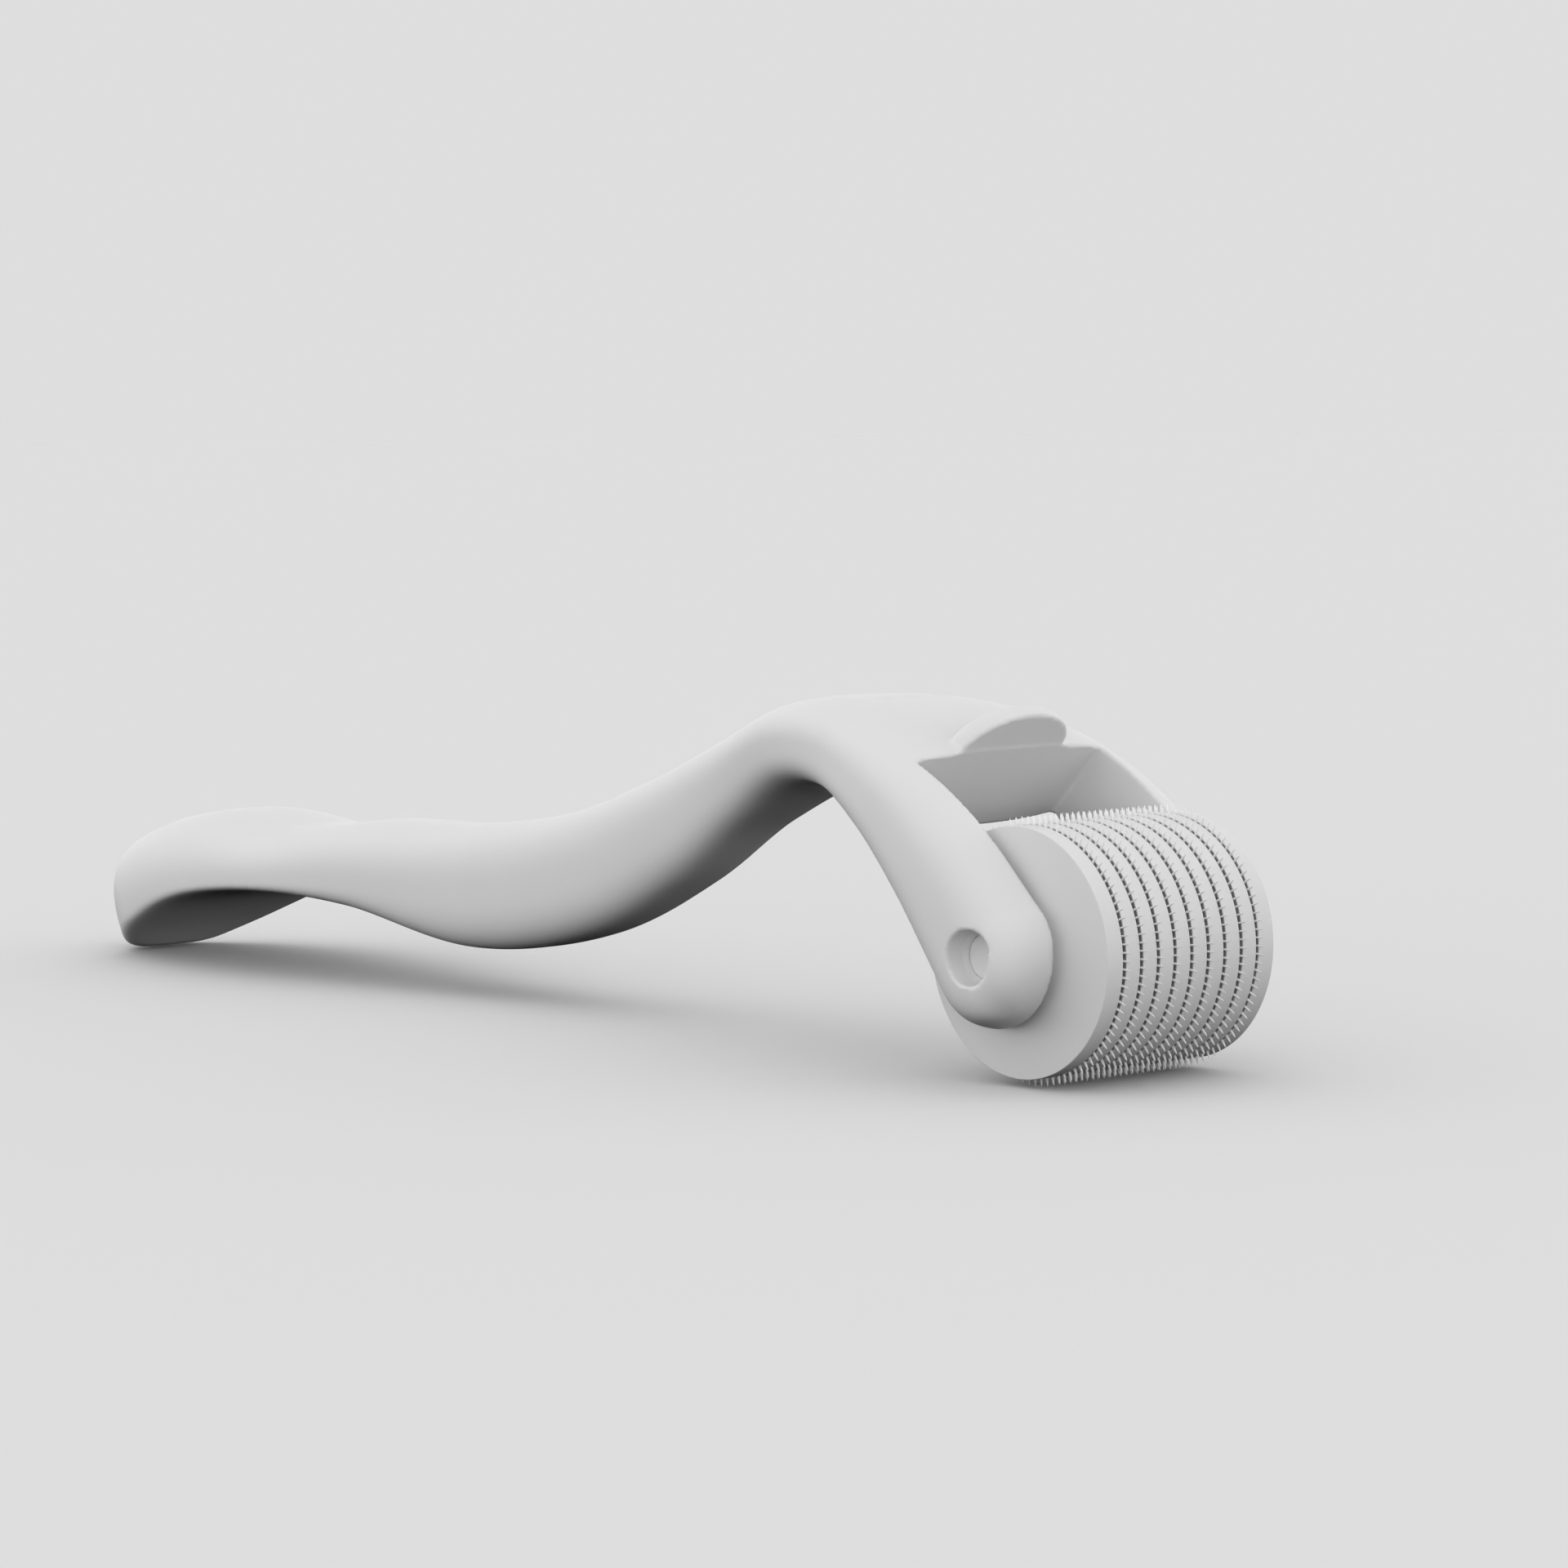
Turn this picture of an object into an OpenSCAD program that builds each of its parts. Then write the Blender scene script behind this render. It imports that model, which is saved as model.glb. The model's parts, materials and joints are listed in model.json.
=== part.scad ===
// Derma roller: a one-piece forked handle that carries a free-turning drum of needle discs.
// Origin on the resting surface, below the middle of the object. +X points from the tail of
// the handle to the roller, +Y to the left arm, +Z up. The needle tips and the tail of the
// handle both stand on the surface z = 0.

/* [Drum] */
// Outside radius of the spacer rings and end caps
drum_r = 10; // [9:0.1:11]
// Length of the drum along its axle
drum_w = 18.5; // [16:0.5:20]
// Needles round each disc
needles = 96; // [48:12:120]
// How far a needle tip stands out of the drum
needle_out = 0.65; // [0.2:0.05:1.5]
// Thickness of a needle disc
disc_t = 0.3; // [0.2:0.05:0.4]
// Depth of the groove between two rings, down to the disc's solid rim
groove_d = 0.7; // [0.4:0.1:1]

/* [Axle] */
// Radius of the two journals that turn in the arms
journal_r = 1.8; // [1.5:0.05:1.9]
// Radial clearance of the journals in the arms
running_gap = 0.05; // [0.02:0.01:0.1]
// Radius of the recess in the outer face of each arm
recess_r = 2.2; // [2.2:0.05:2.6]
// Depth of that recess, from the arm's outer face
recess_d = 2; // [1:0.1:2.5]

/* [Handle] */
// Distance from the axle to the end of the tail
reach = 135; // [134:0.5:136]
// Gap between the inner faces of the two arms
slot_w = 20.5; // [20.2:0.1:21]
// Half the width of the fork over the arms' outer faces
fork_half_w = 14.9; // [14.5:0.1:15.5]
// Distance from the axle to the sloping front face of the crown
crown_gap = 17.7; // [17:0.1:18.5]
// Radius of the rounded end of each arm
arm_end_r = 5.3; // [5:0.1:5.6]
// Half the width of the finger stop on the crown
stop_half_w = 5.5; // [4:0.1:6.5]
// Height of the finger stop, along the crown's front face
stop_h = 4.1; // [2:0.1:4.6]
// Length of the finger stop along the crown
stop_l = 3.3; // [1.5:0.1:4]

/* [Hidden] */
// Radius over the needle tips, which is also the height of the axle
tip_r = drum_r + needle_out;
// The round of the tail stands this far out past the end of its middle line
tail_overhang = 0.47;
axle_x = (reach + tail_overhang - tip_r) / 2;
// Needle discs in the stack, each with a ring or an end cap on both sides
discs = 9;
pitch = drum_w / (discs + 1);
spacer_t = pitch - disc_t;
cap_t = pitch - disc_t / 2;
rim_r = drum_r - groove_d;
needle_half_angle = 0.7;
// Core that carries the stack: a hexagon, so that nothing turns on it
core_r = 6;
core_gap = 0.05;
core_half_l = drum_w / 2 - cap_t;
collar_r = 3.2;
// Thrust boss on each end cap, which keeps the drum off the arms
boss_r = 4;
boss_h = 0.8;
// The journals stop a little short of the recesses
recess_floor = fork_half_w - recess_d;
journal_end = recess_floor - 0.1;
eps = 0.01;
big = 60;

// Stations of the handle, from tail to arm: distance along X from the axle, height of the
// middle line, half thickness, half width, how far the widest line lies above (+) or
// below (-) the middle line as a share of the half thickness, and the roundness of the
// section above its widest line, where 2 is an ellipse and more is squarer.
stations = [
    [-reach, 3.1, 5.2, 6.0, -0.5, 2.2],
    [-125, 7.5, 5.1, 9.2, -0.5, 2.2],
    [-115, 10.4, 4.2, 10.6, -0.5, 2.2],
    [-104, 10.6, 3.2, 9.6, -0.4, 2.2],
    [-92, 10.8, 4.1, 7.6, -0.2, 2.2],
    [-78, 9.8, 5.6, 5.8, 0, 2.2],
    [-64, 11.8, 5.6, 4.8, 0, 2.2],
    [-52, 16.2, 5.0, 4.6, 0, 2.2],
    [-42, 21.2, 4.0, 5.0, 0, 2.2],
    [-32, 25.2, 3.6, 7.6, 0, 2.6],
    [-22, 25.3, 3.8, 11.0, 0, 3.2],
    [-14, 22.3, 4.7, 13.4, 0, 3.5],
    [-7, 17.2, 5.9, 14.6, 0, 3.0],
    [-0.5, 10.2, 6.8, fork_half_w, 0, 2.6]
];
// Roundness of the section below its widest line
bottom_power = 2.8;
sides = 32;
rings_per_span = 4;
// The tail is rounded over these lengths, seen from above and from the side
tail_plan_r = 9.4;
tail_side_r = 4.5;
tail_rings = 9;
arm_end_rings = 7;
spans = len(stations) - 1;

function power(base, exponent) = sign(base) * pow(abs(base), exponent);

// The station at any point u along the handle, by a curve through the listed ones
function listed(i) =
    i < 0 ? 2 * stations[0] - stations[1]
    : i > spans ? 2 * stations[spans] - stations[spans - 1]
    : stations[i];
function curve(a, b, c, d, t) =
    0.5 * (2 * b + (c - a) * t + (2 * a - 5 * b + 4 * c - d) * t * t
        + (3 * b - a - 3 * c + d) * t * t * t);
function along(u) =
    let (i = max(0, min(floor(u), spans - 1)))
    curve(listed(i - 1), listed(i), listed(i + 1), listed(i + 2), u - i);
function direction(u) =
    let (step = along(min(u + 0.01, spans)) - along(max(u - 0.01, 0)))
    [step[0], step[1]] / norm([step[0], step[1]]);

// Share of the full size that a round end leaves at a depth from its tip
function rounded(depth, radius) =
    depth < radius ? sqrt(1 - pow(1 - depth / radius, 2)) : 1;

// A ring of the handle's skin, square to its middle line
function ring(middle, dir, half_t, half_w, widest, top_power) =
    [for (k = [0 : sides - 1])
        let (
            a = 360 * k / sides,
            n = sin(a) >= 0 ? top_power : bottom_power,
            level = widest * half_t,
            reach_t = sin(a) >= 0 ? half_t - level : half_t + level,
            t = level + reach_t * power(sin(a), 2 / n),
            y = half_w * power(cos(a), 2 / n)
        )
        [axle_x + middle[0] - dir[1] * t, y, middle[1] + dir[0] * t]];
function body_ring(u) =
    let (s = along(u), depth = s[0] + reach)
    ring(s, direction(u), s[2] * rounded(depth, tail_side_r),
        s[3] * rounded(depth, tail_plan_r), s[4], s[5]);
function arm_end_ring(a) =
    let (s = along(spans), dir = direction(spans), inner = slot_w / 2)
    ring([s[0], s[1]] + arm_end_r * sin(a) * dir, dir, s[2] * cos(a),
        inner + (s[3] - inner) * cos(a), s[4], s[5]);

skin_rings = concat(
    [for (i = [0 : tail_rings])
        let (a = 8 + 82 * i / tail_rings)
        body_ring(tail_plan_r * (1 - cos(a)) / (stations[1][0] - stations[0][0]))],
    [for (i = [rings_per_span : spans * rings_per_span]) body_ring(i / rings_per_span)],
    [for (i = [1 : arm_end_rings]) arm_end_ring(88 * i / arm_end_rings)]
);

// Closes a stack of rings into one solid
module skin(rings) {
    last = len(rings) - 1;
    polyhedron(
        points = [for (r = rings) each r],
        faces = concat(
            [[for (k = [0 : sides - 1]) k]],
            [[for (k = [sides - 1 : -1 : 0]) last * sides + k]],
            [for (i = [0 : last - 1], k = [0 : sides - 1])
                let (a = i * sides + k, b = i * sides + (k + 1) % sides)
                each [[a, a + sides, b], [b, a + sides, b + sides]]]
        ),
        convexity = 6
    );
}

// Puts its children on the axle at y, with their Z along the axle
module on_axle(y) {
    translate([axle_x, y, tip_r]) rotate([-90, 0, 0]) children();
}

// Both sides of the object alike
module both_sides() {
    children();
    mirror([0, 1, 0]) children();
}

// Everything between the arms and in front of the crown's 45 degree face
module slot() {
    translate([axle_x, 0, tip_r]) rotate([0, 45, 0])
        translate([-crown_gap, -slot_w / 2, -big / 2]) cube([big, slot_w, big]);
}

// Low arch on the front edge of the crown, where the finger pushes
module finger_stop() {
    edge_z = 3.5;
    overlap = 0.5;
    sink = stop_l * sin(30);
    translate([axle_x, 0, tip_r]) rotate([0, 45, 0]) hull()
        for (end = [0, 1])
            translate([overlap - crown_gap - end * (stop_l * cos(30) + overlap), 0,
                    edge_z - end * sink])
                rotate([90, 0, 90]) linear_extrude(eps)
                    scale([stop_half_w, stop_h]) circle(1, $fn = 32);
}

module handle() {
    color("white") difference() {
        union() {
            skin(skin_rings);
            finger_stop();
        }
        slot();
        both_sides() {
            on_axle(slot_w / 2 - 1) cylinder(r = journal_r + running_gap, h = 10, $fn = 64);
            on_axle(recess_floor) cylinder(r = recess_r, h = 10, $fn = 64);
        }
    }
}

module drum_shaft() {
    color("white") {
        on_axle(-core_half_l) cylinder(r = core_r, h = 2 * core_half_l, $fn = 6);
        both_sides() {
            on_axle(core_half_l - eps)
                cylinder(r = collar_r - core_gap, h = cap_t + eps, $fn = 64);
            on_axle(core_half_l)
                cylinder(r = journal_r, h = journal_end - core_half_l, $fn = 64);
        }
    }
}

module end_cap() {
    color("white") on_axle(core_half_l) difference() {
        union() {
            cylinder(r = drum_r, h = cap_t, $fn = 96);
            cylinder(r = boss_r, h = cap_t + boss_h, $fn = 64);
        }
        translate([0, 0, -1]) cylinder(r = collar_r, h = cap_t + 3, $fn = 64);
    }
}
module end_cap_left() end_cap();
module end_cap_right() mirror([0, 1, 0]) end_cap();

// Hexagonal opening that keys a part to the core
module core_opening() {
    circle(r = core_r + core_gap, $fn = 6);
}

// Disc number k, counted from the right arm
module needle_disc(k) {
    outline = [for (j = [0 : needles - 1], side = [-1 : 1])
        let (a = 360 * j / needles + side * needle_half_angle, r = side == 0 ? tip_r : rim_r)
        r * [cos(a), sin(a)]];
    color("silver") on_axle(k * pitch - drum_w / 2 - disc_t / 2) linear_extrude(disc_t)
        difference() {
            polygon(outline);
            core_opening();
        }
}

// Ring number k, between discs k and k + 1
module spacer_ring(k) {
    color("white") on_axle(k * pitch - drum_w / 2 + disc_t / 2) linear_extrude(spacer_t)
        difference() {
            circle(drum_r, $fn = 96);
            core_opening();
        }
}

handle();
drum_shaft();
end_cap_left();
end_cap_right();
needle_disc(1);  // needle_disc_1
needle_disc(2);  // needle_disc_2
needle_disc(3);  // needle_disc_3
needle_disc(4);  // needle_disc_4
needle_disc(5);  // needle_disc_5
needle_disc(6);  // needle_disc_6
needle_disc(7);  // needle_disc_7
needle_disc(8);  // needle_disc_8
needle_disc(9);  // needle_disc_9
spacer_ring(1);  // spacer_ring_1
spacer_ring(2);  // spacer_ring_2
spacer_ring(3);  // spacer_ring_3
spacer_ring(4);  // spacer_ring_4
spacer_ring(5);  // spacer_ring_5
spacer_ring(6);  // spacer_ring_6
spacer_ring(7);  // spacer_ring_7
spacer_ring(8);  // spacer_ring_8
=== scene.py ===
"""Derma roller: the looks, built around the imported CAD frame.

Sizes are worked out in millimetres, and every mesh is made in metres.
"""
import itertools
import json
import math

import bpy
import numpy as np
from mathutils import Matrix, Vector

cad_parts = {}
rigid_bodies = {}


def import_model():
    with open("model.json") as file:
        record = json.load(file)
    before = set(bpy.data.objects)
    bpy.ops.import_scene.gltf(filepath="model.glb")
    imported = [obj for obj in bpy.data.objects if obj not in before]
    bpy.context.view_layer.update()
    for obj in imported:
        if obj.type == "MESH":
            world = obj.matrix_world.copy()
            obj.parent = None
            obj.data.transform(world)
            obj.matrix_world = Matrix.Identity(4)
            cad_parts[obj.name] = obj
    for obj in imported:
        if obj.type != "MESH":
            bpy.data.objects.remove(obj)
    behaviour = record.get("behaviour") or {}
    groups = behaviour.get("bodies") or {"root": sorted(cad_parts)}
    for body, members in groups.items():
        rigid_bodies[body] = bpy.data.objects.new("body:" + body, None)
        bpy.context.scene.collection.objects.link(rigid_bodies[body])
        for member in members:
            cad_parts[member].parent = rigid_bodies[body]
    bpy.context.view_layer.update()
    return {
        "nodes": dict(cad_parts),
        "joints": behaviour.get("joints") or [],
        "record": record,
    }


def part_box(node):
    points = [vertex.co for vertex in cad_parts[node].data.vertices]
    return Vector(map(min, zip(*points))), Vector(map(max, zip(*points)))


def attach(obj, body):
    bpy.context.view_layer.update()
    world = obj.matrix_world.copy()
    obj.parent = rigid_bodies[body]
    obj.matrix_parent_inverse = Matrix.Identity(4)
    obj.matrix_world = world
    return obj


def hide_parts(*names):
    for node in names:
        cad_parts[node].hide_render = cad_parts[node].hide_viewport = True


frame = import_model()

MM = 0.001

# ---------------------------------------------------------------- sizes taken from the frame, in mm

AXLE = np.array(frame["joints"][0]["pos_m"]) / MM
RECESS = frame["record"]["mounts"][0]["dims"]
DRUM_BODY = frame["joints"][0]["child"]
HANDLE_BODY = frame["joints"][0]["parent"]


def node_span(node):
    """Lowest and highest y of a node on the axle, and its largest radius round it, in mm."""
    low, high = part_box(node)
    return low.y / MM, high.y / MM, high.x / MM - AXLE[0]


HANDLE_LOW, HANDLE_HIGH = (np.array(corner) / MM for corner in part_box("handle"))
DISCS = sorted(n for n in frame["nodes"] if n.startswith("needle_disc_"))
RINGS = sorted(n for n in frame["nodes"] if n.startswith("spacer_ring_"))
DRUM_R = node_span(RINGS[0])[2]
NEEDLE_R = node_span(DISCS[0])[2]
JOURNAL_END = node_span("drum_shaft")[1]
CAP_INNER, CAP_OUTER, _ = node_span("end_cap_left")

# ---------------------------------------------------------------- sizes of the looks, in mm

# Handle
REACH = 135
SLOT_HALF_W = 10.25
CROWN_GAP = 17.7
ARM_END_R = 5.3
TAIL_PLAN_R = 9.4
TAIL_SIDE_R = 4.5
BORE_R = 1.85
RECESS_R = RECESS["r_mm"]
RECESS_FLOOR = 12.9
HOLE_EDGE_R = 0.12
CROWN_EDGE_R = 0.18
ARM_EDGE_R = 0.6
# The radius of the slot's edge grows from the crown's to the arms' on the way down the 45 degree slope
EDGE_GROWS_FROM = 2
EDGE_GROWS_OVER = 8
SLOT_CORNER_R = 0.3
# Finger stop: half an ellipse that stands up from STOP_EDGE along the crown's 45 degree front face
STOP_HALF_W = 5.6
STOP_H = 3.85
STOP_EDGE = 3.5
STOP_LEAN = math.tan(math.radians(10))
STOP_FACE_TILT = math.tan(math.radians(3))
STOP_BACK = 2.1
STOP_BACK_R = 1.0
STOP_ROOT_R = 0.4
# Grip dimples in a row across the crown
DIMPLES_X = -24
DIMPLES_Y = (1.5, 4.5)
DIMPLE_R = 0.8
DIMPLE_DEPTH = 0.15
# Drum
CORE_R = 6.0
CORE_GAP = 0.05
OPENING_R = CORE_R + CORE_GAP
COLLAR_R = 3.2
JOURNAL_R = 1.8
JOURNAL_CHAMFER = 0.1
BOSS_R = 4.0
CAP_T = 1.7
CAP_EDGE = 0.12
RING_EDGE = 0.03
RING_GAP = 0.04
RIM_R = 8.4
# Needles: sunk into the rim, with a section between an ellipse and a rectangle
NEEDLES = 96
NEEDLE_W = 0.18
NEEDLE_SINK = 0.1
NEEDLE_CORNERS = 8
NEEDLE_POWER = 0.7
# Painted shade in the gaps of the drum: it is at its darkest this far below the skin
GAP_SHADE_DEPTH = 0.15
GAP_MARGIN = 0.01
# Sides of the turned pieces, and the angles in degrees over which an edge stays sharp
AROUND = 192
SHARP_ANGLE = 30
NEEDLE_SHARP_ANGLE = 40

# Stations of the handle, from tail to arm: distance along X from the axle, height of the middle line,
# half thickness, half width, share of the half thickness at which the widest line lies, and roundness
# above and below that line, where 2 is an ellipse and more is squarer
STATIONS = np.array([
    [-135, 3.1, 5.2, 6.0, -0.6, 2.3, 3.5],
    [-125, 7.7, 4.9, 9.2, -0.7, 2.5, 4.0],
    [-115, 10.5, 4.1, 10.6, -0.7, 2.5, 4.5],
    [-104, 10.8, 3.0, 9.6, -0.6, 2.6, 4.5],
    [-92, 10.9, 4.0, 7.6, -0.3, 2.7, 4.0],
    [-78, 9.8, 5.6, 5.8, 0, 2.7, 3.4],
    [-64, 11.8, 5.6, 4.8, 0, 2.7, 3.2],
    [-52, 16.2, 5.0, 4.6, 0, 2.6, 3.2],
    [-42, 21.2, 4.0, 5.0, 0, 2.6, 3.4],
    [-32, 25.2, 3.6, 7.6, 0, 2.7, 3.6],
    [-22, 25.3, 3.8, 11.0, 0, 3.2, 3.4],
    [-14, 22.3, 4.7, 13.4, 0, 3.5, 3.0],
    [-7, 17.2, 5.9, 14.6, 0, 3.2, 2.9],
    [-0.5, 10.2, 6.8, 14.9, 0, 3.1, 3.1],
])
SPANS = len(STATIONS) - 1
# Steps of the net that the handle's surface is drawn on: fine from the crown forwards, longer
# along the bar
NET_STEP = 0.26
BAR_STEP = 0.55
FINE_FROM = -31


# ---------------------------------------------------------------- the handle's middle line

def station(u):
    """The station at any points u along the handle, by a curve through the listed ones."""
    padded = np.vstack([2 * STATIONS[0] - STATIONS[1], STATIONS, 2 * STATIONS[-1] - STATIONS[-2]])
    u = np.clip(u, 0, SPANS)
    i = np.minimum(u.astype(int), SPANS - 1)
    t = (u - i)[..., None]
    a, b, c, d = (padded[i + k] for k in range(4))
    return 0.5 * (2 * b + (c - a) * t + (2 * a - 5 * b + 4 * c - d) * t**2
                  + (3 * b - a - 3 * c + d) * t**3)


def slope(u):
    """How the middle line moves in X and Z as u grows."""
    step = 0.01
    low, high = np.clip(u - step, 0, SPANS), np.clip(u + step, 0, SPANS)
    return (station(high) - station(low))[..., :2] / (high - low)[..., None]


def nearest_on_line(x, z):
    """The u of the middle line's point nearest to each point (x, z)."""
    listed_u = np.linspace(0, SPANS, SPANS * 8 + 1)
    line = station(listed_u)[:, :2]
    points = np.stack([x, z], -1)
    u = np.empty(len(points))
    for some in np.array_split(np.arange(len(points)), len(points) // 20000 + 1):
        away = ((points[some, None, :] - line[None]) ** 2).sum(-1)
        u[some] = listed_u[away.argmin(1)]
    for _ in range(4):
        along = slope(u)
        off = points - station(u)[:, :2]
        u = np.clip(u + (off * along).sum(-1) / (along**2).sum(-1), 0, SPANS)
    return u


# ---------------------------------------------------------------- the handle as a field, negative inside

def rounded(depth, radius):
    """Share of the full size that a round end leaves at a depth from its tip."""
    return np.sqrt(np.clip(1 - np.clip(1 - depth / radius, 0, 1) ** 2, 1e-6, 1))


def both(a, b, radius):
    """Inside both, with the edge between them rounded."""
    corner = np.hypot(np.maximum(a + radius, 0), np.maximum(b + radius, 0))
    return np.minimum(np.maximum(a, b), -radius) + corner


def either(a, b, radius):
    """Inside either, with a fillet of that radius between them."""
    return -both(-a, -b, radius)


def ellipse(y, z, half_y, half_z):
    """Distance to an ellipse, true near its outline."""
    share = np.hypot(y / half_y, z / half_z) + 1e-9
    return (share - 1) * share / (np.hypot(y / half_y**2, z / half_z**2) + 1e-9)


def section_sizes(x, z):
    """The section of the skin that each point (x, z) lies in: where it lies there, and the sizes."""
    u = nearest_on_line(x, z)
    s = station(u)
    along = slope(u)
    along = along / np.linalg.norm(along, axis=-1, keepdims=True)
    off = np.stack([x, z], -1) - s[:, :2]
    past = (off * along).sum(-1)
    past_tail = np.where(u <= 0, -past, -1.0)
    past_arm = np.where(u >= SPANS, past, 0.0)
    cap = rounded(ARM_END_R - past_arm, ARM_END_R)
    side_cap = np.cbrt(1 - np.clip(past_arm / ARM_END_R, 0, 0.999) ** 3)
    depth = s[:, 0] + REACH
    half_w = s[:, 3] * rounded(depth, TAIL_PLAN_R)
    return {
        "t": off[:, 1] * along[:, 0] - off[:, 0] * along[:, 1],
        "half_t": s[:, 2] * rounded(depth, TAIL_SIDE_R) * cap,
        "half_w": np.where(u >= SPANS, SLOT_HALF_W + (half_w - SLOT_HALF_W) * side_cap, half_w),
        "widest": s[:, 4],
        "top_power": s[:, 5],
        "bottom_power": s[:, 6],
        "past": np.maximum(past_tail, past_arm - ARM_END_R),
    }


def skin(size, y):
    """Distance to the handle's skin before anything is cut from it or added."""
    level = size["widest"] * size["half_t"]
    above = size["t"] >= level
    power = np.where(above, size["top_power"], size["bottom_power"])
    half_t = np.where(above, size["half_t"] - level, size["half_t"] + level)
    t = np.abs(size["t"] - level) / half_t + 1e-9
    w = np.abs(y) / size["half_w"] + 1e-9
    share = (t**power + w**power) ** (1 / power)
    steepness = share ** (1 - power) * np.hypot(t ** (power - 1) / half_t,
                                                w ** (power - 1) / size["half_w"])
    return np.maximum((share - 1) / steepness, size["past"])


def handle_field(x, y, z, size):
    """Distance to the finished handle, in mm, where x and z are measured from the axle."""
    y = np.abs(y)
    forward = (x - z) * math.sqrt(0.5) + CROWN_GAP
    upward = (x + z) * math.sqrt(0.5)
    stop = ellipse(y, upward - STOP_EDGE - forward * STOP_LEAN, STOP_HALF_W, STOP_H)
    stop = both(stop, -forward - STOP_BACK, STOP_BACK_R)
    stop = both(stop, forward + (upward - STOP_EDGE) * STOP_FACE_TILT, CROWN_EDGE_R)
    solid = either(skin(size, y), stop, STOP_ROOT_R)
    on_top = z > CROWN_GAP / 2
    for dimple_y in DIMPLES_Y:
        share = ((x - DIMPLES_X) ** 2 + (y - dimple_y) ** 2) / DIMPLE_R**2
        solid = solid + DIMPLE_DEPTH * np.clip(1 - share, 0, 1) * on_top
    down_arm = np.clip((EDGE_GROWS_FROM - upward) / EDGE_GROWS_OVER, 0, 1)
    edge_r = CROWN_EDGE_R + (ARM_EDGE_R - CROWN_EDGE_R) * down_arm
    slot = both(-forward, y - SLOT_HALF_W, SLOT_CORNER_R)
    solid = both(solid, -slot, edge_r)
    hole_r = np.where(y > RECESS_FLOOR, RECESS_R, BORE_R)
    return both(solid, hole_r - np.hypot(x, z), HOLE_EDGE_R)


def field_at(points):
    """The handle's field at points in the row frame, in mm."""
    x, y, z = (points - AXLE).T
    return handle_field(x, y, z, section_sizes(x, points[:, 2]))


def sampled_field(x, y, z):
    """The handle's field at every node of a grid with these coordinates in the row frame."""
    flat_x, flat_z = (grid.ravel() for grid in np.meshgrid(x, z, indexing="ij"))
    size = {name: value[:, None] for name, value in section_sizes(flat_x - AXLE[0], flat_z).items()}
    values = handle_field((flat_x - AXLE[0])[:, None], y[None], (flat_z - AXLE[2])[:, None], size)
    return values.reshape(len(x), len(z), len(y)).transpose(0, 2, 1)


# ---------------------------------------------------------------- meshes

def surface_net(values):
    """(points in grid steps, quads) of the zero surface: one point in each cell that it crosses."""
    inside = values < 0
    counts = np.array(values.shape)
    corners = list(itertools.product((0, 1), repeat=3))
    held = sum(inside[tuple(slice(o, n - 1 + o) for o, n in zip(corner, counts))].astype(int)
               for corner in corners)
    crossed = (held > 0) & (held < len(corners))
    cells = np.argwhere(crossed)
    index = np.full(crossed.shape, -1)
    index[crossed] = np.arange(len(cells))
    total, hits, quads = np.zeros(cells.shape), np.zeros(len(cells)), []
    for axis in range(3):
        unit = np.eye(3, dtype=int)[axis]
        for corner in corners:
            if corner[axis]:
                continue
            a = values[tuple((cells + corner).T)]
            b = values[tuple((cells + corner + unit).T)]
            cuts = (a < 0) != (b < 0)
            share = np.where(cuts, a / np.where(cuts, a - b, 1), 0)
            total += np.where(cuts[:, None], corner + share[:, None] * unit, 0)
            hits += cuts
        one, two = (np.eye(3, dtype=int)[(axis + k) % 3] for k in (1, 2))
        start = inside[tuple(slice(0, -1) if k == axis else slice(None) for k in range(3))]
        end = inside[tuple(slice(1, None) if k == axis else slice(None) for k in range(3))]
        edges = np.argwhere(start != end)
        ring = np.stack([index[tuple((edges - move).T)]
                         for move in (one * 0, one, one + two, two)], 1)
        leaving = start[tuple(edges.T)]
        quads.append(np.where(leaving[:, None], ring, ring[:, ::-1]))
    return cells + total / hits[:, None], np.concatenate(quads)


def onto_surface(points):
    """Points moved onto the handle's surface."""
    probe = 0.02
    for _ in range(3):
        value = field_at(points)
        fall = np.stack([(field_at(points + probe * unit) - value) / probe for unit in np.eye(3)], 1)
        move = value[:, None] * fall / np.maximum((fall**2).sum(1, keepdims=True), 0.3)
        points = points - np.clip(move, -NET_STEP / 2, NET_STEP / 2)
    return points


def evened(points, quads):
    """Points spread more evenly over the surface that they lie on."""
    for _ in range(2):
        total, count = np.zeros(points.shape), np.zeros(len(points))
        for k in range(4):
            np.add.at(total, quads[:, k], points[quads[:, k - 1]])
            np.add.at(count, quads[:, k], 1)
        points = onto_surface(0.5 * points + 0.5 * total / count[:, None])
    return points


def mesh_object(name, points_mm, faces, smooth_angle=None):
    """A mesh object from points in mm in the row frame. Edges sharper than smooth_angle stay sharp."""
    mesh = bpy.data.meshes.new(name)
    mesh.from_pydata((np.asarray(points_mm) * MM).tolist(), [], [list(f) for f in faces])
    mesh.update()
    mesh.polygons.foreach_set("use_smooth", [True] * len(mesh.polygons))
    if smooth_angle is not None:
        mesh.set_sharp_from_angle(angle=math.radians(smooth_angle))
    thing = bpy.data.objects.new(name, mesh)
    bpy.context.scene.collection.objects.link(thing)
    return thing


def place(thing, body, slot, material, *nodes):
    """Gives a piece its material and body, and hides the CAD nodes that it stands for; the slot argument
    is not used.
    """
    thing.data.materials.append(material)
    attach(thing, body)
    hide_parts(*nodes)
    return thing


def hexagon(angle, corner_r):
    """Radius of a hexagon at an angle, with a corner on +X."""
    return corner_r * math.cos(math.pi / 6) / math.cos(angle % (math.pi / 3) - math.pi / 6)


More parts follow.
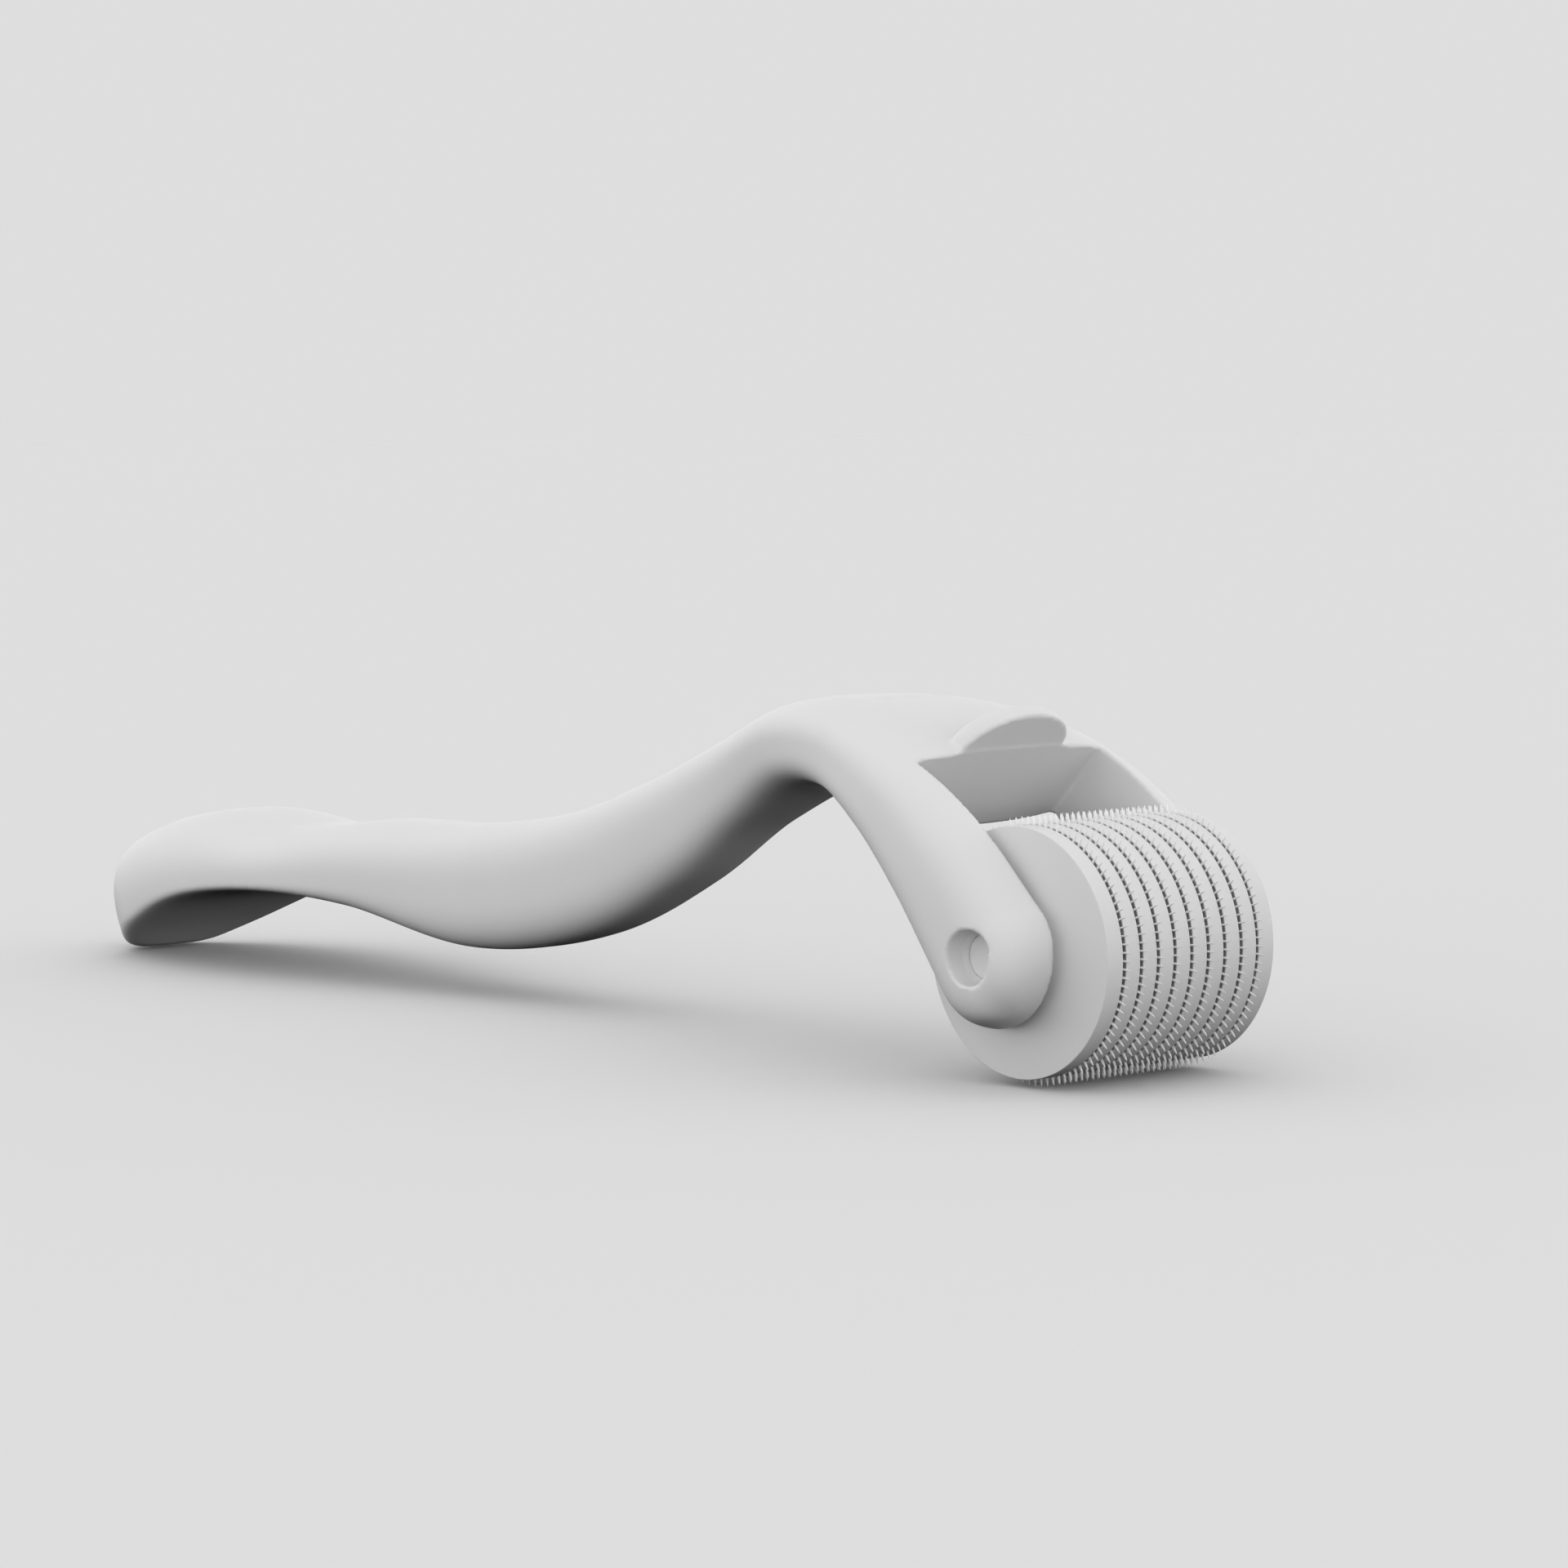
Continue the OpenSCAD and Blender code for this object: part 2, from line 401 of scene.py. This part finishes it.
def turned(profile, solid=False):
    """(points, faces) of a profile turned about the axle.

    The profile is a list of (radius, y, is_hexagonal). It closes on itself as a ring, or with a flat
    face at each end if the piece is solid.
    """
    points = []
    for k in range(AROUND):
        angle = 2 * math.pi * k / AROUND
        for radius, y, hexagonal in profile:
            r = hexagon(angle, radius) if hexagonal else radius
            points.append((AXLE[0] + r * math.cos(angle), y, AXLE[2] + r * math.sin(angle)))
    n = len(profile)
    steps = n - 1 if solid else n
    faces = []
    for k in range(AROUND):
        here, beyond = k * n, (k + 1) % AROUND * n
        faces += [(here + i, here + (i + 1) % n, beyond + (i + 1) % n, beyond + i) for i in range(steps)]
    if solid:
        faces.append(tuple(k * n for k in range(AROUND)))
        faces.append(tuple(k * n + n - 1 for k in range(AROUND - 1, -1, -1)))
    return points, faces


def softened(profile, edge, steps=3):
    """A profile whose corners marked True are rounded by edge. Each corner is (radius, y, hex, soft)."""
    out = []
    for i, (r, y, hexagonal, soft) in enumerate(profile):
        if not soft:
            out.append((r, y, hexagonal))
            continue
        here = np.array([r, y])
        before = np.array(profile[i - 1][:2]) - here
        after = np.array(profile[(i + 1) % len(profile)][:2]) - here
        start = here + edge * before / np.linalg.norm(before)
        end = here + edge * after / np.linalg.norm(after)
        for k in range(steps + 1):
            t = k / steps
            point = (1 - t) ** 2 * start + 2 * t * (1 - t) * here + t**2 * end
            out.append((point[0], point[1], hexagonal))
    return out


# ---------------------------------------------------------------- materials

SPECULAR = 0.1
CLOUD_MM = 9
SATIN_MM = 1.6
SATIN_SPREAD = 0.05
# Colour of the painted shade deep in the gaps of the drum
GAP_SHADE_TONE = 0.3


def plastic(name, tone, roughness, grain_mm, grain_depth_mm, blotch=0.02):
    """Moulded plastic: a fine sparked grain, faint cloudiness in its colour and an uneven satin."""
    material = bpy.data.materials.new(name)
    material.use_nodes = True
    nodes, links = material.node_tree.nodes, material.node_tree.links
    shader = nodes["Principled BSDF"]
    shader.inputs["Specular IOR Level"].default_value = SPECULAR
    place_of = nodes.new("ShaderNodeTexCoord").outputs["Object"]

    def noise(size_mm, detail):
        texture = nodes.new("ShaderNodeTexNoise")
        texture.inputs["Scale"].default_value = 1 / (size_mm * MM)
        texture.inputs["Detail"].default_value = detail
        links.new(place_of, texture.inputs["Vector"])
        return texture.outputs["Fac"]

    def spread(value, low, high):
        span = nodes.new("ShaderNodeMapRange")
        span.inputs["From Min"].default_value = 0.3
        span.inputs["From Max"].default_value = 0.7
        span.inputs["To Min"].default_value = low
        span.inputs["To Max"].default_value = high
        links.new(value, span.inputs["Value"])
        return span.outputs["Result"]

    cloud = nodes.new("ShaderNodeMix")
    cloud.data_type = "RGBA"
    cloud.inputs["A"].default_value = (*[c * (1 - blotch) for c in tone], 1)
    cloud.inputs["B"].default_value = (*[min(1, c * (1 + blotch)) for c in tone], 1)
    links.new(noise(CLOUD_MM, 3), cloud.inputs["Factor"])
    links.new(cloud.outputs["Result"], shader.inputs["Base Color"])
    satin = spread(noise(SATIN_MM, 4), roughness - SATIN_SPREAD, roughness + SATIN_SPREAD)
    links.new(satin, shader.inputs["Roughness"])
    bump = nodes.new("ShaderNodeBump")
    bump.inputs["Distance"].default_value = grain_depth_mm * MM
    links.new(noise(grain_mm, 2), bump.inputs["Height"])
    links.new(bump.outputs["Normal"], shader.inputs["Normal"])
    return material


def paint_gap_shade(material):
    """Paints shade into a material: darker where its piece lies deep in a gap of the drum."""
    nodes, links = material.node_tree.nodes, material.node_tree.links
    shader = nodes["Principled BSDF"]
    shade = nodes.new("ShaderNodeMix")
    shade.data_type = "RGBA"
    shade.inputs["B"].default_value = (GAP_SHADE_TONE, GAP_SHADE_TONE, GAP_SHADE_TONE, 1)
    depth = nodes.new("ShaderNodeAttribute")
    depth.attribute_name = "painted_shade_share"
    links.new(depth.outputs["Fac"], shade.inputs["Factor"])
    links.new(shader.inputs["Base Color"].links[0].from_socket, shade.inputs["A"])
    links.new(shade.outputs["Result"], shader.inputs["Base Color"])


def satin_metal(name, tone, roughness):
    """Pale satin steel with a very fine grain and a faint metallic share."""
    material = plastic(name, tone, roughness, 0.12, 0.002, 0.03)
    shader = material.node_tree.nodes["Principled BSDF"]
    shader.inputs["Metallic"].default_value = 0.08
    return material


WHITE = (0.79, 0.79, 0.79)
handle_plastic = plastic("handle_plastic", WHITE, 0.6, 0.35, 0.005)
roller_plastic = plastic("roller_plastic", WHITE, 0.5, 0.25, 0.004)
shaft_plastic = plastic("shaft_plastic", (0.77, 0.77, 0.77), 0.5, 0.25, 0.004)
needle_metal = satin_metal("needle_metal", (0.9, 0.9, 0.9), 0.42)
# Painted shade in the gaps of the drum, on the rings, caps and needle rows
paint_gap_shade(roller_plastic)
paint_gap_shade(needle_metal)


# ---------------------------------------------------------------- handle

def make_handle():
    """The one-piece handle and fork, as a fine even mesh of its own surface."""
    low, high = HANDLE_LOW - 3 * NET_STEP, HANDLE_HIGH + 3 * NET_STEP
    fine_from = AXLE[0] + FINE_FROM
    x = np.concatenate([np.arange(low[0] - BAR_STEP, fine_from, BAR_STEP),
                        np.arange(fine_from, high[0], NET_STEP)])
    y = np.arange(0, high[1], NET_STEP)
    z = np.arange(low[2], high[2], NET_STEP)
    left = sampled_field(x, y, z)
    values = np.concatenate([left[:, :0:-1], left], axis=1)
    steps, quads = surface_net(values)
    grid = (x, np.concatenate([-y[:0:-1], y]), z)
    points = np.stack([np.interp(steps[:, i], np.arange(len(grid[i])), grid[i]) for i in range(3)], 1)
    points = evened(onto_surface(points), quads)
    return mesh_object("handle_shell", points, quads)


place(make_handle(), HANDLE_BODY, "handle", handle_plastic, "handle")


# ---------------------------------------------------------------- drum

def with_painted_shade_share(thing, top_r):
    """Marks how much painted shade each point gets, by how deep it lies in the gaps of the drum: 0 at
    top_r and on its ends, 1 inside.
    """
    values = []
    for vertex in thing.data.vertices:
        x, y, z = np.array(vertex.co) / MM
        below = (top_r - math.hypot(x - AXLE[0], z - AXLE[2])) / GAP_SHADE_DEPTH
        values.append(min(1, max(0, below)) if abs(y) < CAP_INNER + GAP_MARGIN else 0)
    thing.data.attributes.new("painted_shade_share", "FLOAT", "POINT").data.foreach_set("value", values)
    return thing


def make_ring(node):
    """A spacer ring with a hexagonal opening and softly broken outer edges."""
    low, high, radius = node_span(node)
    low, high = low + RING_GAP, high - RING_GAP
    # The painted shade in the gaps is at its darkest at and below this radius
    shaded_r = radius - GAP_SHADE_DEPTH
    profile = softened([(radius, low, False, True), (radius, high, False, True),
                        (shaded_r, high, False, False), (OPENING_R, high, True, False),
                        (OPENING_R, low, True, False), (shaded_r, low, False, False)], RING_EDGE)
    band = mesh_object(node.replace("spacer_ring", "spacer_band"), *turned(profile), SHARP_ANGLE)
    return with_painted_shade_share(band, DRUM_R)


def needle(angle, y_middle, thickness):
    """One tapering needle of rounded section, as (points, faces), standing out along its angle."""
    corners = NEEDLE_CORNERS
    # Radius from the axle, then the share of the full width and of the full thickness
    levels = [(RIM_R - NEEDLE_SINK, 1.15, 1), (DRUM_R - 0.05, 0.95, 0.95), (DRUM_R + 0.3, 0.68, 0.72),
              (DRUM_R + 0.55, 0.32, 0.36), (NEEDLE_R, 0.1, 0.1)]
    outward = np.array([math.cos(angle), 0, math.sin(angle)])
    sideways = np.array([-math.sin(angle), 0, math.cos(angle)])
    points = []
    for radius, share_w, share_t in levels:
        for k in range(corners):
            turn = 2 * math.pi * (k + 0.5) / corners
            across, along = (math.copysign(abs(v) ** NEEDLE_POWER, v)
                             for v in (math.cos(turn), math.sin(turn)))
            w = across * NEEDLE_W / 2 * share_w
            t = along * thickness / 2 * share_t
            at = radius * outward + w * sideways
            points.append((AXLE[0] + at[0], y_middle + t, AXLE[2] + at[2]))
    faces = [(i * corners + k, (i + 1) * corners + k,
              (i + 1) * corners + (k + 1) % corners, i * corners + (k + 1) % corners)
             for i in range(len(levels) - 1) for k in range(corners)]
    faces.append(tuple(range(corners)))
    faces.append(tuple((len(levels) - 1) * corners + k for k in range(corners - 1, -1, -1)))
    return points, faces


def make_disc(node):
    """A thin disc with its ring of needles."""
    low, high, _ = node_span(node)
    points, faces = turned([(RIM_R, low, False), (RIM_R, high, False),
                            (OPENING_R, high, True), (OPENING_R, low, True)])
    for k in range(NEEDLES):
        more, its_faces = needle(2 * math.pi * k / NEEDLES, (low + high) / 2, high - low)
        faces += [tuple(i + len(points) for i in face) for face in its_faces]
        points += more
    row = mesh_object(node.replace("needle_disc", "needle_row"), points, faces, NEEDLE_SHARP_ANGLE)
    return with_painted_shade_share(row, RIM_R + GAP_SHADE_DEPTH)


def make_cap(node, side):
    """An end cap with its thrust boss, on the side +1 (left) or -1 (right)."""
    outer = CAP_INNER + CAP_T
    # The last corner sets where the painted gap shade is darkest on the cap's inner face
    corners = [(DRUM_R, CAP_INNER, False, True), (DRUM_R, outer, False, True),
               (BOSS_R, outer, False, False), (BOSS_R, CAP_OUTER, False, True),
               (COLLAR_R, CAP_OUTER, False, False), (COLLAR_R, CAP_INNER, False, False),
               (DRUM_R - GAP_SHADE_DEPTH, CAP_INNER, False, False)]
    profile = [(r, side * y, hexagonal) for r, y, hexagonal in softened(corners, CAP_EDGE)]
    if side < 0:
        profile.reverse()
    cap = mesh_object(node.replace("end_cap", "drum_cap"), *turned(profile), SHARP_ANGLE)
    return with_painted_shade_share(cap, DRUM_R)


def make_shaft():
    """The hexagonal core with its collars and journals, with a small chamfer at each end."""
    collar_r, collar_end = COLLAR_R - CORE_GAP, CAP_INNER + CAP_T
    half = [(CORE_R, 0, True), (CORE_R, CAP_INNER, True),
            (collar_r, CAP_INNER, False), (collar_r, collar_end, False),
            (JOURNAL_R, collar_end, False), (JOURNAL_R, JOURNAL_END - JOURNAL_CHAMFER, False),
            (JOURNAL_R - JOURNAL_CHAMFER, JOURNAL_END, False)]
    profile = [(r, -y, hexagonal) for r, y, hexagonal in half[:0:-1]] + half
    return mesh_object("drum_axle", *turned(profile, solid=True), SHARP_ANGLE)


for ring in RINGS:
    place(make_ring(ring), DRUM_BODY, "roller", roller_plastic, ring)
for disc in DISCS:
    place(make_disc(disc), DRUM_BODY, "needles", needle_metal, disc)
place(make_cap("end_cap_left", 1), DRUM_BODY, "roller", roller_plastic, "end_cap_left")
place(make_cap("end_cap_right", -1), DRUM_BODY, "roller", roller_plastic, "end_cap_right")
place(make_shaft(), DRUM_BODY, "shaft", shaft_plastic, "drum_shaft")


# ---------------------------------------------------------------- floor, backdrop and light

# Metres
STAGE_R = 3.0
WALL_H = 3.0
STAGE_CORNERS = 96
FLOOR_TONE = 0.8
BACKDROP_TONE = 0.73


def stage_ring(z):
    """The stage's outline at height z."""
    angles = [2 * math.pi * k / STAGE_CORNERS for k in range(STAGE_CORNERS)]
    return [(STAGE_R * math.cos(angle), STAGE_R * math.sin(angle), z) for angle in angles]


def stage_disc():
    """The floor: a wide pale disc."""
    mesh = bpy.data.meshes.new("floor")
    mesh.from_pydata(stage_ring(0), [], [tuple(range(STAGE_CORNERS))])
    return bpy.data.objects.new("floor", mesh)


def stage_wall():
    """The backdrop: a tall ring round the floor."""
    n = STAGE_CORNERS
    mesh = bpy.data.meshes.new("backdrop")
    mesh.from_pydata(stage_ring(0) + stage_ring(WALL_H), [],
                     [(k, k + n, (k + 1) % n + n, (k + 1) % n) for k in range(n)])
    return bpy.data.objects.new("backdrop", mesh)


def stage_material(name, kind, tone):
    """A plain floor or backdrop material: one Diffuse or Emission shader."""
    material = bpy.data.materials.new(name)
    material.use_nodes = True
    nodes = material.node_tree.nodes
    nodes.remove(nodes["Principled BSDF"])
    shader = nodes.new(kind)
    shader.inputs["Color"].default_value = (tone, tone, tone, 1)
    material.node_tree.links.new(shader.outputs[0], nodes["Material Output"].inputs["Surface"])
    return material


def make_stage():
    """Floor and backdrop. The camera sees them, and they send no light to the object."""
    for thing, kind, tone in ((stage_disc(), "ShaderNodeBsdfDiffuse", FLOOR_TONE),
                              (stage_wall(), "ShaderNodeEmission", BACKDROP_TONE)):
        thing.data.materials.append(stage_material(thing.name, kind, tone))
        bpy.context.scene.collection.objects.link(thing)
        thing.visible_diffuse = False
        thing.visible_glossy = False
        thing.visible_shadow = False


def make_sky(overhead, low_glow, glow_power):
    """Soft studio light from all round above, brighter towards the horizon and none from below."""
    world = bpy.data.worlds.new("studio")
    bpy.context.scene.world = world
    world.use_nodes = True
    nodes, links = world.node_tree.nodes, world.node_tree.links
    split = nodes.new("ShaderNodeSeparateXYZ")
    links.new(nodes.new("ShaderNodeTexCoord").outputs["Generated"], split.inputs[0])

    def math_node(operation, first, second):
        node = nodes.new("ShaderNodeMath")
        node.operation = operation
        for socket, value in zip(node.inputs, (first, second)):
            if isinstance(value, (int, float)):
                socket.default_value = value
            else:
                links.new(value, socket)
        return node.outputs[0]

    nodes["Background"].inputs["Color"].default_value = (1, 1, 1, 1)
    height = split.outputs["Z"]
    glow = math_node("POWER", math_node("SUBTRACT", 1.0, math_node("MAXIMUM", height, 0.0)), glow_power)
    level = math_node("ADD", math_node("MULTIPLY", glow, low_glow), overhead)
    links.new(math_node("MULTIPLY", level, math_node("GREATER_THAN", height, 0.0)),
              nodes["Background"].inputs["Strength"])


CAMERA_AT_MM = (356.92, -291.27, 57.94)
CAMERA_HEADING = math.radians(48.80)
CAMERA_DIP = math.radians(4.749)
CAMERA_ROLL = math.radians(-0.515)
CAMERA_LENS = 120.1
CAMERA_SENSOR = 36


def make_camera():
    """The camera: low, in front and on the right, looking back along the handle."""
    level = Vector((math.cos(CAMERA_HEADING), math.sin(CAMERA_HEADING), 0))
    ahead = Vector((-level.y, level.x, 0))
    forward = ahead * math.cos(CAMERA_DIP) - Vector((0, 0, math.sin(CAMERA_DIP)))
    right = Matrix.Rotation(-CAMERA_ROLL, 3, forward) @ level
    up = right.cross(forward)
    data = bpy.data.cameras.new("camera")
    data.sensor_width = CAMERA_SENSOR
    data.lens = CAMERA_LENS
    data.clip_start, data.clip_end = 0.01, 10
    camera = bpy.data.objects.new("camera", data)
    turn = Matrix((right, up, -forward)).transposed().to_4x4()
    camera.matrix_world = Matrix.Translation(Vector(CAMERA_AT_MM) * MM) @ turn
    bpy.context.scene.collection.objects.link(camera)
    bpy.context.scene.camera = camera


make_stage()
make_sky(overhead=0.76, low_glow=2.3, glow_power=4)
make_camera()
bpy.context.scene.view_settings.view_transform = "Standard"
